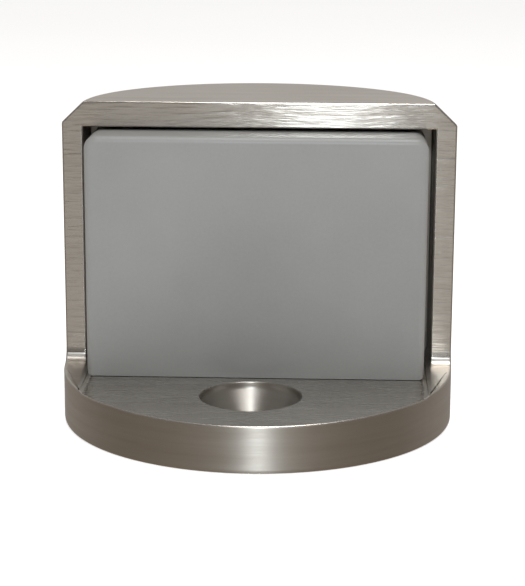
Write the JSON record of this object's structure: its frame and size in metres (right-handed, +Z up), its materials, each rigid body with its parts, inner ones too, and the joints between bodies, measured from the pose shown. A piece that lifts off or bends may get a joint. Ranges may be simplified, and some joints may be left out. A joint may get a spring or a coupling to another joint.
{
  "type": "floor door stop",
  "caption": "Half-dome floor door stop: plated metal body with a flat front, a grey rubber bumper set in its pocket and a countersunk screw hole in the round base.",
  "frame": {"origin": "centre of the round base, on its underside", "axes": "+Z up from the floor, -Y out of the bumper face towards the door, +X to the right when facing the bumper"},
  "size_m": [0.0444, 0.0444, 0.0361],
  "materials": {
    "satin_metal": "satin brushed nickel plate on solid brass",
    "grey_rubber": "moulded, slightly glossy",
    "bond": "cured adhesive"
  },
  "bodies": {
    "root": {"stop_body": "satin_metal", "rubber_bumper": "grey_rubber", "bumper_adhesive": "bond"}
  },
  "joints": []
}
